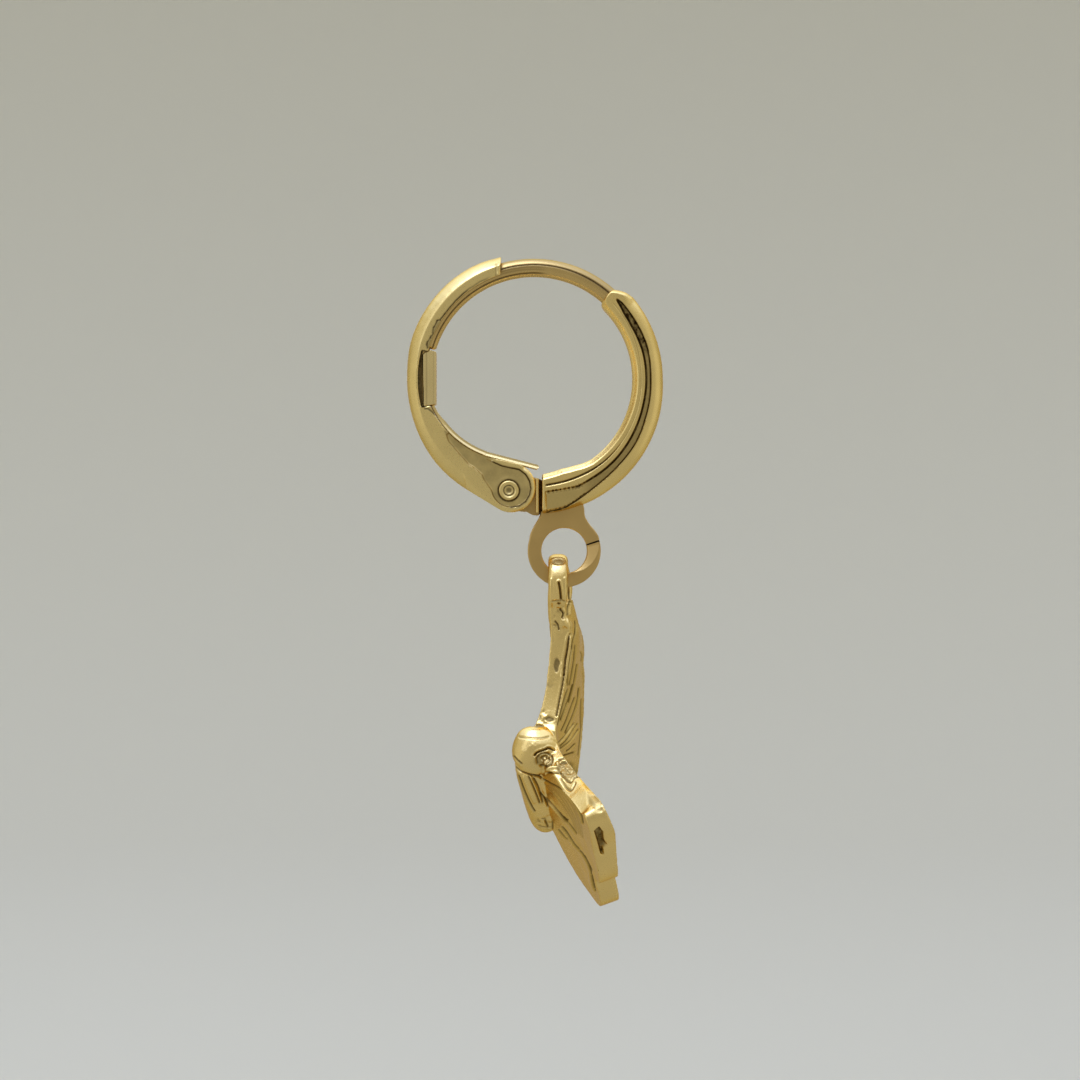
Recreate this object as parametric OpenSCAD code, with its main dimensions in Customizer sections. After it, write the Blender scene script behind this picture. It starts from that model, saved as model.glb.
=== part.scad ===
// Leverback hoop earring with a cast butterfly, in millimetres.
// The hoop lies in the XZ plane: +X is its front, +Z is up. The origin is the centre of the
// ear wire at the top of the hoop, where the earring hangs in the ear.

/* [Hoop] */
// Outer diameter of the hoop
hoop_d = 14; // [13.8:0.1:14.4]
// Width of both arms, across the hoop
arm_w = 2.2; // [2:0.1:2.6]
// Thickness of the front arm at its middle
arm_t = 1.64; // [1.5:0.02:1.8]
// Radius of the rounded outside of both arms
crown_r = 1.3; // [1.2:0.05:1.6]
// Angle at which the front arm ends, counted from the front
arm_end_deg = 48.8; // [46:0.2:52]
// How far the foot of the front arm swells outward
foot_swell = 0.375; // [0.3:0.025:0.4]

/* [Ear wire] */
// Diameter of the ear wire
wire_d = 1; // [0.8:0.05:1]
// Radius of the ear wire's centre line
wire_r = 6.07; // [6.05:0.01:6.08]
// Angle at which the ear wire ends inside the lever
wire_tip_deg = 163.5; // [140:0.5:163.5]

/* [Lever] */
// Outer radius of the lever
lever_r = 7.03; // [7:0.01:7.1]
// Angle of the lever's free end, where it is cut off upright
lever_top_deg = 105; // [104:0.5:108]
// Thickness of each cheek
cheek_t = 0.48; // [0.4:0.02:0.52]
// Radius of the channel's floor
channel_r = 6.66; // [6.62:0.01:6.7]
// Inner radius of the cheeks beside the ear wire
cheek_in_r = 5.93; // [5.8:0.01:6]
// Angle at which the window starts
window_from_deg = 165.5; // [164:0.5:167]
// Angle at which the window ends
window_to_deg = 194.5; // [193:0.5:196]
// Radius that the window reaches
window_r = 6.3; // [6.2:0.05:6.4]
// Depth of the recess around the rivet
recess = 0.12; // [0.08:0.02:0.16]
// Radius of the rounded hinge end
hinge_end_r = 1.34; // [1.3:0.01:1.36]

/* [Hinge] */
// Diameter of the rivet
pin_d = 0.7; // [0.6:0.05:0.8]
// Diameter of the rivet's heads
head_d = 1.1; // [1:0.05:1.2]
// Height of the rivet's heads
head_h = 0.22; // [0.16:0.02:0.3]
// Thickness of the knuckle between the cheeks
knuckle_t = 1.1; // [1:0.02:1.12]
// Running clearance between rivet and knuckle, on the radius
pin_gap = 0.03; // [0.02:0.01:0.05]

/* [Spring leaf] */
// Thickness of the strip
leaf_t = 0.18; // [0.14:0.02:0.2]
// Width of the strip, between the cheeks
leaf_w = 1.1; // [0.9:0.05:1.15]
// Width of the block that fills the lever's window
block_w = 2; // [1.8:0.05:2.1]

/* [Charm ring] */
// Outer radius of the ring
ring_r = 1.99; // [1.9:0.01:2.05]
// Radius of the ring's hole
ring_hole_r = 1.24; // [1.2:0.01:1.28]
// Thickness of the ring
ring_t = 0.8; // [0.7:0.05:0.85]
// Bevel along the ring's edges
ring_bevel = 0.12; // [0.1:0.01:0.16]
// Width of the saw slit at the ring's front
slit_w = 0.09; // [0.06:0.01:0.12]

/* [Butterfly] */
// Thickness of the wings
wing_t = 1.08; // [0.9:0.02:1.1]
// How far the body leans out of the level, head up
body_tilt = 37.3; // [35:0.1:40]
// How far the butterfly leans back from upright
body_lean = 9.1; // [8:0.1:10]
// Fold of the wings next to the body
fold_in = 19.2; // [17:0.1:21]
// Fold of the wings' outer halves
fold_out = 14.5; // [13:0.1:16]
// Distance from the body at which the fold changes
fold_at = 4; // [3.5:0.1:4.5]
// Radius of the head and thorax
thorax_r = 1.3; // [1.2:0.02:1.34]
// Length of the abdomen
abdomen_l = 5.9; // [5.4:0.1:6.2]

/* [Loop] */
// Outer radius of the hanging loop
loop_r = 1.72; // [1.6:0.02:1.8]
// Radius of its hole
loop_hole_r = 0.8; // [0.78:0.01:0.86]
// Thickness of the loop
loop_w = 1.09; // [0.9:0.01:1.1]

/* [Hidden] */
$fn = 72;
eps = 0.01;
through = 6;

hoop_r = hoop_d / 2;
arm_in_r = hoop_r - arm_t;
slot_w = arm_w - 2 * cheek_t;

// Points in the hoop's plane are counted from the hoop's centre, front and up
rivet = [-1.36, -6.06];
hinge_end = [-1.25, -5.90];
foot_x = 0.42;
land = [[0.53, -5.09], [3.13, -4.31]];
ring_at = [1.64, -9.33];

// The foot of the front arm turns about a point below the hoop's centre
foot_turn = -80;
foot_centre = foot_swell * [cos(foot_turn), sin(foot_turn)];
foot_r = 6.965;
foot_from_deg = 5;

// The spring leaf: an arc about its own centre, then a straight tongue
leaf_centre = [-0.97, 0.63];
leaf_r = 4.91;
leaf_from = 201;
leaf_to = 250.4;
leaf_tip = [0.2, -4.74];
leaf_bend = leaf_centre + (leaf_r + 0.02) * [cos(leaf_to), sin(leaf_to)];

// Where the lever's outside leaves its circle for the rounded hinge end
hinge_dir = atan2(hinge_end[1], hinge_end[0]) + 360;
tangent = hinge_dir - acos((lever_r - hinge_end_r) / norm(hinge_end));
tangent_dir = [cos(tangent), sin(tangent)];

// The butterfly: body point in the part's frame, then the wing's outline by column:
// distance from the body along the wing, distance forward of the body point
body_at = [0.626, -0.54, -27.03];
outline = [
    [0, 1.9],
    [2.1, 2.6],
    [3.8, 3.4],
    [5.3, 4.4],
    [6.7, 5.15],
    [7.55, 4.4],
    [7.6, 2.6],
    [7.95, 1.0],
    [7.8, -0.2],
    [7.15, -0.95],
    [7.3, -2.0],
    [7.35, -3.0],
    [6.8, -4.0],
    [5.3, -5.0],
    [3.4, -5.8],
    [1.6, -5.6],
    [0, -4.4],
];
outline_steps = 3;
wing_reach = 9;
thorax_at = [1.5, 0, 0.38];
abdomen_r = [1.15, 0.72];
abdomen_at = [0.4, 0, 0.5];
loop_at = [1.31, 0, -17.27];
loop_round_r = 0.62;

// Places the hoop's plane, with its sides facing along Y
module in_hoop() {
    translate([0, 0, -wire_r])
        rotate([90, 0, 0])
            children();
}

// A wedge of the plane between two angles
module sector(from, to, r = 12) {
    steps = ceil((to - from) / 30);
    polygon(concat([[0, 0]], [for (i = [0:steps]) let (a = from + (to - from) * i / steps)
        r * [cos(a), sin(a)]]));
}

// Cross-section of an arm: flat inside and sides, rounded outside
module arm_section(r_in, r_out) {
    crown_at = r_out - crown_r;
    translate([r_in, -arm_w / 2])
        square([crown_at - r_in + eps, arm_w]);
    intersection() {
        translate([crown_at, 0])
            circle(r = crown_r);
        translate([crown_at, -arm_w / 2])
            square([crown_r + eps, arm_w]);
    }
}

// A strip of even thickness between two points
module bar(a, b, t) {
    d = b - a;
    translate(a)
        rotate(atan2(d[1], d[0]))
            translate([-0.1, -t])
                square([norm(d) + 0.1, t]);
}

module front_arm() {
    color("goldenrod")
        in_hoop()
            union() {
                arm();
                ear_wire();
                knuckle();
                charm_ring();
            }
}

module arm() {
    difference() {
        union() {
            rotate_extrude(angle = arm_end_deg - foot_from_deg, start = foot_from_deg)
                arm_section(arm_in_r - 0.5, hoop_r);
            intersection() {
                translate(foot_centre)
                    rotate_extrude()
                        arm_section(4.2, foot_r);
                linear_extrude(through, center = true)
                    sector(-110, foot_from_deg);
            }
        }
        // Inside: round, with a flat land over the hinge
        linear_extrude(through, center = true)
            intersection() {
                circle(r = arm_in_r);
                rotate(atan2(land[1][1] - land[0][1], land[1][0] - land[0][0]))
                    translate([-8, -norm(land[0]) * cos(12.6)])
                        square([16, 16]);
            }
        // Foot: cut off square beside the hinge
        translate([foot_x - 5, -10, -through / 2])
            cube([5, 10, through]);
        // Top end: the outer corner is sloped
        linear_extrude(through, center = true)
            polygon([6.48 * [cos(49), sin(49)], 7.01 * [cos(39.5), sin(39.5)], [9, 6], [9, 9], [4, 9]]);
    }
}

module ear_wire() {
    rotate_extrude(angle = wire_tip_deg - 44, start = 44)
        translate([wire_r, 0])
            circle(d = wire_d);
}

module knuckle() {
    difference() {
        linear_extrude(knuckle_t, center = true) {
            translate(rivet)
                circle(r = 1);
            polygon([
                rivet + [0, 1],
                [foot_x + 0.3, -5.2],
                [foot_x + 0.3, -7.4],
                [0.1, -7.6],
                [-0.4, -7.22],
                rivet + [0, -1],
            ]);
        }
        translate(rivet)
            cylinder(d = pin_d + 2 * pin_gap, h = through, center = true);
    }
    // The thin shoulder that closes the gap beside the hinge
    translate([0.12, -7.2, -arm_w / 2 + 0.1])
        cube([0.12, 1.85, arm_w - 0.2]);
}

module charm_ring() {
    tab_w = 2.7;
    difference() {
        union() {
            translate(ring_at)
                rotate_extrude()
                    ring_section(0);
            translate([0.02, -8.7, -ring_t / 2])
                cube([tab_w, 2.2, ring_t]);
        }
        translate(ring_at)
            rotate_extrude()
                ring_hole_section();
        translate(ring_at + [0, 0.3])
            rotate(9.9)
                translate([0, -slit_w / 2, -through / 2])
                    cube([ring_r + 1, slit_w, through]);
    }
}

// Half of the ring's section, solid to its centre, with bevelled outer edges
module ring_section(r_in) {
    b = ring_bevel;
    h = ring_t / 2;
    polygon([[r_in, -h], [ring_r - b, -h], [ring_r, b - h], [ring_r, h - b], [ring_r - b, h], [r_in, h]]);
}

// The hole with its bevelled rims
module ring_hole_section() {
    b = ring_bevel;
    h = ring_t / 2;
    r = ring_hole_r;
    polygon([[0, -h - 1], [r + b + 1, -h - 1], [r + b, -h], [r, b - h], [r, h - b], [r + b, h],
        [r + b + 1, h + 1], [0, h + 1]]);
}

// Side outline of the lever's curved part
module lever_band() {
    intersection() {
        circle(r = lever_r + 1);
        sector(lever_top_deg - 6, 246);
        translate([lever_r * cos(lever_top_deg) - 10, -10])
            square([10, 20]);
    }
}

// Side outline of the rounded hinge end, joined to the band along a tangent
module lever_end() {
    translate(hinge_end)
        circle(r = hinge_end_r);
    polygon([
        lever_r * tangent_dir,
        hinge_end + hinge_end_r * tangent_dir,
        hinge_end,
        [-1.0, -4.6],
        [-2.68, -4.18],
        [-4, -4],
    ]);
}

// What is cut away on the inner side of the cheeks
module lever_inside() {
    intersection() {
        circle(r = cheek_in_r);
        sector(lever_top_deg - 8, window_to_deg);
    }
    intersection() {
        circle(r = window_r);
        sector(window_from_deg, window_to_deg);
    }
    intersection() {
        translate(leaf_centre)
            circle(r = leaf_r + leaf_t + 0.02);
        sector(window_to_deg, 290);
    }
}

// The recessed area around the rivet
module lever_recess() {
    translate(hinge_end)
        circle(r = hinge_end_r - 0.27);
    polygon([
        [-4.82, -2.84],
        [-4.14, -3.475],
        [-3.76, -3.75],
        [-3.21, -4.03],
        [-2.12, -4.565],
        [-1.74, -4.73],
        [-0.9, -4.95],
        [-1.25, -6.96],
        [-1.7, -6.8],
        [-2.02, -6.55],
        [-2.35, -6],
        [-2.72, -5.46],
        [-2.83, -5.19],
        [-3.27, -4.81],
        [-3.55, -4.65],
        [-4.14, -3.97],
        [-4.64, -3.38],
    ]);
}

module lever() {
    color("gold")
        in_hoop()
            difference() {
                union() {
                    intersection() {
                        rotate_extrude()
                            arm_section(0.5, lever_r);
                        linear_extrude(through, center = true)
                            lever_band();
                    }
                    linear_extrude(arm_w, center = true)
                        lever_end();
                }
                linear_extrude(through, center = true)
                    lever_inside();
                // Channel, open all the way beside the knuckle
                linear_extrude(slot_w, center = true) {
                    circle(r = channel_r);
                    translate([-2.55, -10])
                        square([10, 10]);
                }
                for (side = [-1, 1])
                    translate([0, 0, side * arm_w / 2])
                        linear_extrude(2 * recess, center = true)
                            lever_recess();
                translate(rivet)
                    cylinder(d = pin_d, h = through, center = true);
            }
}

module spring_leaf() {
    // The block stands in the window, its outer top corner sloped, with a web behind it
    block = [[-5.32, -1.38], [-5.98, -1.49], [-6.02, 1.3], [-5.9, 1.42], [-5.74, 1.46], [-5.66, 1.56],
             [-5.32, 1.47]];
    web_t = 0.3;
    web_r = channel_r - 0.04;
    color("khaki")
        in_hoop()
            union() {
                translate(leaf_centre)
                    rotate_extrude(angle = leaf_to - leaf_from, start = leaf_from)
                        translate([leaf_r, -leaf_w / 2])
                            square([leaf_t, leaf_w]);
                linear_extrude(leaf_w, center = true)
                    bar(leaf_bend, leaf_tip, leaf_t);
                linear_extrude(block_w, center = true)
                    polygon(block);
                linear_extrude(web_t, center = true)
                    intersection() {
                        circle(r = web_r);
                        sector(window_from_deg - 1.5, window_to_deg + 1.5);
                        translate([-hoop_d, -hoop_d])
                            square([hoop_d - 5.8, 2 * hoop_d]);
                    }
            }
}

module hinge_pin() {
    color("lightyellow")
        in_hoop()
            translate(rivet) {
                cylinder(d = pin_d, h = arm_w, center = true);
                for (side = [-1, 1])
                    translate([0, 0, side * (arm_w / 2 - recess + head_h / 2)])
                        cylinder(d = head_d, h = head_h, center = true);
            }
}

// A smooth curve through the outline's points
function curve(p0, p1, p2, p3, t) =
    0.5 * (2 * p1 + (p2 - p0) * t + (2 * p0 - 5 * p1 + 4 * p2 - p3) * t * t
        + (3 * p1 - p0 - 3 * p2 + p3) * t * t * t);
last = len(outline) - 1;
function at(i) = outline[max(0, min(last, i))];
smooth = concat([for (i = [0:last - 1]) for (k = [0:outline_steps - 1])
    curve(at(i - 1), at(i), at(i + 1), at(i + 2), k / outline_steps)], [at(last)]);

// One flat panel of a wing, from one distance off the body to another
module wing_panel(from, to, drop, fold) {
    stretch = 1 / cos(fold);
    translate([0, from, -drop])
        rotate([-fold, 0, 0])
            linear_extrude(wing_t, center = true)
                intersection() {
                    polygon([for (s = smooth) [s[1], (s[0] - from) * stretch]]);
                    translate([-wing_reach, 0])
                        square([2 * wing_reach, (to - from) * stretch]);
                }
}

module wing() {
    wing_panel(0, fold_at + 0.1, 0, fold_in);
    wing_panel(fold_at, wing_reach, fold_at * tan(fold_in), fold_out);
}

module body() {
    translate(thorax_at)
        sphere(r = thorax_r);
    translate(abdomen_at)
        rotate([0, -90, 0]) {
            cylinder(r1 = abdomen_r[0], r2 = abdomen_r[1], h = abdomen_l - abdomen_r[1]);
            translate([0, 0, abdomen_l - abdomen_r[1]])
                sphere(r = abdomen_r[1]);
        }
}

module loop() {
    translate(loop_at)
        rotate([0, 90, 0])
            rotate_extrude()
                intersection() {
                    translate([loop_hole_r, -loop_w / 2])
                        square([loop_r - loop_hole_r, loop_w]);
                    translate([loop_hole_r + loop_round_r, 0])
                        circle(r = loop_round_r);
                }
}

module butterfly() {
    color("gold") {
        translate(body_at)
            rotate([90 - body_tilt, -body_lean, 0])
                rotate([0, -90, 0]) {
                    wing();
                    mirror([0, 1, 0])
                        wing();
                    body();
                }
        loop();
    }
}

front_arm();
lever();
spring_leaf();
hinge_pin();
butterfly();
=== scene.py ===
import math

import bmesh
import bpy
import numpy as np
from mathutils import Matrix, Vector
from mathutils.bvhtree import BVHTree


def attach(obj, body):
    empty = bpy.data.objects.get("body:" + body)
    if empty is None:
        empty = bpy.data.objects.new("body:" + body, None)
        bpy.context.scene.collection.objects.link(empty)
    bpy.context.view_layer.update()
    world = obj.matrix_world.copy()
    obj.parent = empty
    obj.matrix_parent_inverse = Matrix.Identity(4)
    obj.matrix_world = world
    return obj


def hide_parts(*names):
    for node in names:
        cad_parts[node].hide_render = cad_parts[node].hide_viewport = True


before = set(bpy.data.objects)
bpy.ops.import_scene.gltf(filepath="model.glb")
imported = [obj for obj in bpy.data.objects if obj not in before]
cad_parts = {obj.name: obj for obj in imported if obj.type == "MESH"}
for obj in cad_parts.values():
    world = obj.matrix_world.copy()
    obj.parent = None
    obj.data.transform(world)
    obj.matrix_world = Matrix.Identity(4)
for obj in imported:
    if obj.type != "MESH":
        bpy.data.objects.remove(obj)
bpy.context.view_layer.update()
scene = bpy.context.scene
MM = 0.001

# ---- Studio
# A matt paper sweep stands all round, and a light tent over it gives the soft light that small
# jewellery is photographed in. Its roof is lit most, by cool daylight lamps; its side walls get a
# little of that, its front least. The roof comes down lower at the back.
FLOOR_Z = -55 * MM
FLOOR_R = 300 * MM
SWEEP_R = 250 * MM
WALL_TOP = 600 * MM
PAPER = "#CBC4A6"
# The camera looks level at the hoop's side, from this far away in millimetres
EYE_X, EYE_AWAY, EYE_Z = 0.327, 220, -14.816
CAMERA_AT = (EYE_X * MM, -EYE_AWAY * MM, EYE_Z * MM)
CAMERA_LENS = 134.64


def linear(hex_colour):
    """An sRGB hex colour as linear red, green and blue."""
    parts = [int(hex_colour[i:i + 2], 16) / 255 for i in (1, 3, 5)]
    return [c / 12.92 if c <= 0.04045 else ((c + 0.055) / 1.055) ** 2.4 for c in parts]


def feed(tree, node, inputs):
    """Gives each of a node's sockets its value, or the node or socket that feeds it."""
    for key, value in dict(inputs).items():
        if isinstance(value, bpy.types.Node):
            value = value.outputs[0]
        if isinstance(value, bpy.types.NodeSocket):
            tree.links.new(value, node.inputs[key])
        else:
            node.inputs[key].default_value = value


def add(tree, kind, inputs=(), **settings):
    """Adds a shader node and feeds it."""
    made = tree.nodes.new("ShaderNode" + kind)
    for key, value in settings.items():
        setattr(made, key, value)
    feed(tree, made, inputs)
    return made


def carry(tree, value, low, high, to_low=0.0, to_high=1.0, **settings):
    """Adds a node that carries a value from one range to another."""
    return add(tree, "MapRange", {"Value": value, "From Min": low, "From Max": high,
                                  "To Min": to_low, "To Max": to_high}, **settings)


def mesh_piece(name, points, faces):
    mesh = bpy.data.meshes.new(name)
    mesh.from_pydata([tuple(p) for p in points], [], faces)
    mesh.update()
    piece = bpy.data.objects.new(name, mesh)
    scene.collection.objects.link(piece)
    return piece


def skin(rings, closed=False):
    """Joins rings of points into one skin and caps its two ends."""
    turns, count = rings.shape[:2]
    last = turns if closed else turns - 1
    faces = [(i * count + k, i * count + (k + 1) % count,
              (i + 1) % turns * count + (k + 1) % count, (i + 1) % turns * count + k)
             for i in range(last) for k in range(count)]
    if not closed:
        faces += [tuple(reversed(range(count))), tuple(range((turns - 1) * count, turns * count))]
    return rings.reshape(-1, 3), faces


camera = bpy.data.objects.new("camera", bpy.data.cameras.new("camera"))
camera.data.lens = CAMERA_LENS
camera.data.clip_start, camera.data.clip_end = 1 * MM, 3000 * MM
camera.location = CAMERA_AT
camera.rotation_euler = (math.radians(90), 0, 0)
scene.collection.objects.link(camera)
scene.camera = camera
scene.view_settings.view_transform = "Standard"

# The sweep's outline, from near the middle of the floor out to the top of the wall
profile = [(FLOOR_R * i / 6, FLOOR_Z) for i in range(1, 7)]
profile += [(FLOOR_R + SWEEP_R * math.sin(a), FLOOR_Z + SWEEP_R * (1 - math.cos(a)))
            for a in (math.radians(90 * i / 24) for i in range(1, 25))]
profile.append((FLOOR_R + SWEEP_R, WALL_TOP))
turns = 96
rings = [[(r * math.cos(t), r * math.sin(t), z) for t in (2 * math.pi * k / turns for k in range(turns))]
         for r, z in profile]
points, faces = skin(np.array(rings))
# It stays open at the top
sweep = mesh_piece("paper_sweep", points, faces[:-1])
sweep.data.shade_smooth()
# The metal mirrors the tent, not the sweep
sweep.visible_glossy = False
sweep.visible_shadow = False
# Uncoated paper: pale and quite without shine
paper = bpy.data.materials.new("matt_paper")
paper.use_nodes = True
feed(paper.node_tree, paper.node_tree.nodes["Principled BSDF"],
     {"Base Color": (*linear(PAPER), 1), "Roughness": 0.9})
sweep.data.materials.append(paper)

world = bpy.data.worlds.new("light_tent")
scene.world = world
world.use_nodes = True
tent = world.node_tree
tent.nodes.clear()
ROOF_SLOPE = 0.35
way = add(tent, "TexCoord")
axes = add(tent, "SeparateXYZ", {0: way.outputs["Generated"]})
behind = add(tent, "Math", {0: axes.outputs["Y"], 1: 0.0}, operation="MAXIMUM")
slope = add(tent, "Math", {0: behind, 1: ROOF_SLOPE, 2: axes.outputs["Z"]}, operation="MULTIPLY_ADD")
height = carry(tent, slope, -1.0, 1.0)
cloth = add(tent, "ValToRGB", {"Fac": height})
# How bright the cloth is from the floor (0) to the top (1), and the colour of the lit roof
TENT = [(0.0, 0.42), (0.35, 0.46), (0.55, 0.46), (0.7, 0.46), (0.8, 0.6), (0.87, 1.15), (1.0, 1.45)]
ROOF_FROM, ROOF_TONE = 0.85, (0.88, 1.0, 1.5)
ramp = cloth.color_ramp
while len(ramp.elements) < len(TENT):
    ramp.elements.new(0.5)
for element, (place, level) in zip(ramp.elements, TENT):
    element.position = place
    element.color = (*(level * part for part in (ROOF_TONE if place > ROOF_FROM else (1, 1, 1))), 1)
front = carry(tent, axes.outputs["Y"], -0.8, -0.98, 1.0, 0.86, interpolation_type="SMOOTHSTEP")
sideways = add(tent, "Math", {0: axes.outputs["X"]}, operation="ABSOLUTE")
walls = carry(tent, sideways, 0.8, 0.97, 0.0, 0.16, interpolation_type="SMOOTHSTEP")
dimmed = add(tent, "VectorMath", {0: cloth, 1: front}, operation="MULTIPLY")
light = add(tent, "VectorMath", {0: dimmed, 1: walls}, operation="ADD")
shine = add(tent, "Background", {"Color": light, "Strength": 1.0})
add(tent, "OutputWorld", {"Surface": shine})

EARRING_MIDDLE = -15 * MM


def softbox(name, at, size, radiance):
    """A lamp aimed at the earring. radiance is how bright its face looks."""
    lamp = bpy.data.lights.new(name, "AREA")
    lamp.shape = "RECTANGLE"
    lamp.size, lamp.size_y = size
    lamp.energy = radiance * math.pi * size[0] * size[1]
    lamp.color = ROOF_TONE
    holder = bpy.data.objects.new(name, lamp)
    holder.location = at
    aim = Vector((0, 0, EARRING_MIDDLE)) - Vector(at)
    holder.rotation_euler = aim.to_track_quat("-Z", "Y").to_euler()
    scene.collection.objects.link(holder)


softbox("softbox_top", (-0.08, -0.08, 0.28), (0.22, 0.2), 2.2)
softbox("softbox_left", (-0.28, -0.16, 0.1), (0.14, 0.26), 0.5)

# ---- Front arm
# The right-hand half of the hoop: a solid brass casting, gold plated. Its outside is a rounded roll,
# and each side has a tapered recess, matt from the mould, that runs up into a groove.
# Points in the hoop's plane are counted from the hoop's centre, front and up, in millimetres.
HOOP_Z = -6.07
ARM_TOP, ARM_HALF_W, ROLL_POWER = 48.8, 1.1, 2.3
# Its length along the middle, and the rounding of its two ends
ARM_RUN, ARM_END_R = 14.5, 0.11
ARM_OUT = [
    (-90, 7.334), (-80, 7.34), (-65, 7.322), (-50, 7.28), (-35, 7.217), (-20, 7.141), (-5, 7.047), (0, 7.02),
    (6, 7.02), (39.5, 7.0), (43.3, 6.88), (46.2, 6.7), (48.9, 6.48)]
ARM_IN = [
    (-90, 5.28), (-85, 5.2), (-80, 5.15), (-73, 5.1), (-66, 5.17), (-60, 5.29), (-55, 5.36), (-46, 5.36),
    (44.5, 5.36), (46.5, 5.39), (48.0, 5.5), (48.9, 5.7)]
# The recess: a fine line, then the groove that is its floor's inner side, then its outer wall
FINE_LINE = [
    (-90, 5.84), (-80, 5.8), (-74, 5.81), (-64, 5.83), (-57, 5.86), (-50, 5.88), (-25, 5.86), (-10, 5.84),
    (0, 5.81), (13, 5.83), (25, 5.87), (35, 5.9), (45, 5.93)]
GROOVE = [
    (-90, 6.15), (-80, 6.15), (-74, 6.18), (-68, 6.28), (-60, 6.23), (-52, 6.22), (-44, 6.2), (-28, 6.13),
    (-14, 6.08), (1, 6.08), (14, 6.07), (29, 6.00), (36, 6.03), (44, 6.2)]
OUTER_WALL = [
    (-90, 7.5), (-83, 7.26), (-77, 7.22), (-71, 7.03), (-67, 6.9), (-62, 6.78), (-57, 6.69), (-50, 6.61),
    (-45, 6.58), (-35, 6.55), (-30, 6.52), (-25, 6.48), (-20, 6.43), (-10, 6.39), (0, 6.34), (10, 6.37),
    (16, 6.39), (22, 6.37), (30, 6.33), (40, 6.32), (45, 6.24)]


def table(rows, x):
    """Reads a value off a measured table, joined by straight lines."""
    rows = np.array(rows, float)
    return np.interp(x, rows[:, 0], rows[:, 1])


def step(low, high, x):
    t = np.clip((x - low) / (high - low), 0, 1)
    return t * t * (3 - 2 * t)


def bell(x, width):
    """A smooth bump, 1 high where x is 0."""
    return np.exp(-(x / width) ** 2)


def rounding(run, radius):
    """How much a rounded edge takes off at a distance from the end or the side."""
    return radius * (1 - np.sqrt(1 - (1 - np.clip(run / radius, 0, 1)) ** 2))


def circle(count):
    """Angles once round, in even steps."""
    return np.linspace(0, 2 * math.pi, count, endpoint=False)


def stand(flat):
    """Points in the hoop's plane, with their place across it, as points of the frame in metres."""
    x, z, y = flat
    return np.stack([x, y, z + HOOP_Z], axis=-1) * MM


def loft(name, rings, residue_and_shade=None, closed=False):
    piece = mesh_piece(name, *skin(rings, closed))
    finish(piece, residue_and_shade)
    return piece


def turn_outward(mesh):
    work = bmesh.new()
    work.from_mesh(mesh)
    bmesh.ops.recalc_face_normals(work, faces=work.faces)
    work.to_mesh(mesh)
    work.free()


def finish(piece, residue_and_shade=None, sharp=40):
    """Turns the skin outward, smooths its shading and stores how dark each point is painted, for residue and
    painted shade.
    """
    mesh = piece.data
    turn_outward(mesh)
    mesh.shade_smooth()
    mesh.set_sharp_from_angle(angle=math.radians(sharp))
    store = mesh.attributes.new("residue_and_shade", "FLOAT", "POINT")
    if residue_and_shade is not None:
        store.data.foreach_set("value", np.ascontiguousarray(residue_and_shade, dtype=np.float32).ravel())


# Where a part says so, the plate is painted dark brown and rough: painted shade in grooves, recesses and
# between parts, with residue that polishing misses. Seen edge-on it has a tone that keeps the wings' slanting
# faces warm. Its brightness drifts over patches of PATCH_SIZE millimetres, its roughness by grain.
RESIDUE_AND_SHADE_TONE, DULL_ROUGHNESS = "#3E2A10", 0.5
EDGE_ON_TONE = "#E9D2A0"
PATCH, PATCH_SIZE, RUBBED = 0.05, 1.6, 0.05


def gold_plate(name, tone, roughness, grain=0.12, grain_height=0.004, stretch=(1, 1, 1)):
    """Gold plate over brass: one bright metal, painted browner and rougher where shade falls and residue
    lies.
    """
    made = bpy.data.materials.new(name)
    made.use_nodes = True
    tree = made.node_tree
    place = add(tree, "TexCoord")
    turned = add(tree, "Mapping", {"Vector": place.outputs["Object"], "Scale": stretch})
    fine = add(tree, "TexNoise", {"Vector": turned, "Scale": 1 / (grain * MM), "Detail": 3.0})
    broad = add(tree, "TexNoise", {"Vector": place.outputs["Object"], "Scale": 1 / (PATCH_SIZE * MM),
                                   "Detail": 2.0})
    residue_and_shade = add(tree, "Attribute", attribute_name="residue_and_shade")
    ragged = add(tree, "Math", {0: fine.outputs["Fac"], 1: 0.6, 2: 0.7}, operation="MULTIPLY_ADD")
    depth = add(tree, "Math", {0: residue_and_shade.outputs["Fac"], 1: ragged}, operation="MULTIPLY", use_clamp=True)
    cloud = carry(tree, broad.outputs["Fac"], 0.3, 0.7, 1 - PATCH, 1 + PATCH)
    tint = add(tree, "Mix", {"Factor": depth, 6: (*linear(tone), 1), 7: (*linear(RESIDUE_AND_SHADE_TONE), 1)},
               data_type="RGBA")
    colour = add(tree, "VectorMath", {0: tint.outputs[2], "Scale": cloud}, operation="SCALE")
    rub = carry(tree, fine.outputs["Fac"], 0.3, 0.7, roughness - RUBBED, roughness + RUBBED)
    rough = add(tree, "Mix", {"Factor": depth, 2: rub, 3: DULL_ROUGHNESS}, data_type="FLOAT")
    relief = add(tree, "Bump", {"Height": fine.outputs["Fac"], "Distance": grain_height * MM})
    feed(tree, tree.nodes["Principled BSDF"],
         {"Base Color": colour, "Metallic": 1, "Roughness": rough, "Normal": relief,
          "Specular Tint": (*linear(EDGE_ON_TONE), 1)})
    return made


def grit(points, size, seed):
    """Smooth random bumps between -1 and 1, of one size, the same in every run."""
    spot = points / size + seed * 17.3
    cell = np.floor(spot)
    f = spot - cell
    f = f * f * (3 - 2 * f)
    total = np.zeros(len(points))
    for corner in range(8):
        o = np.array([corner & 1, corner >> 1 & 1, corner >> 2 & 1])
        value = np.sin((cell + o) @ (127.1, 311.7, 74.7)) * 43758.5453
        total += (value - np.floor(value)) * np.prod(np.where(o, f, 1 - f), axis=1)
    return 2 * total - 1


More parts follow.
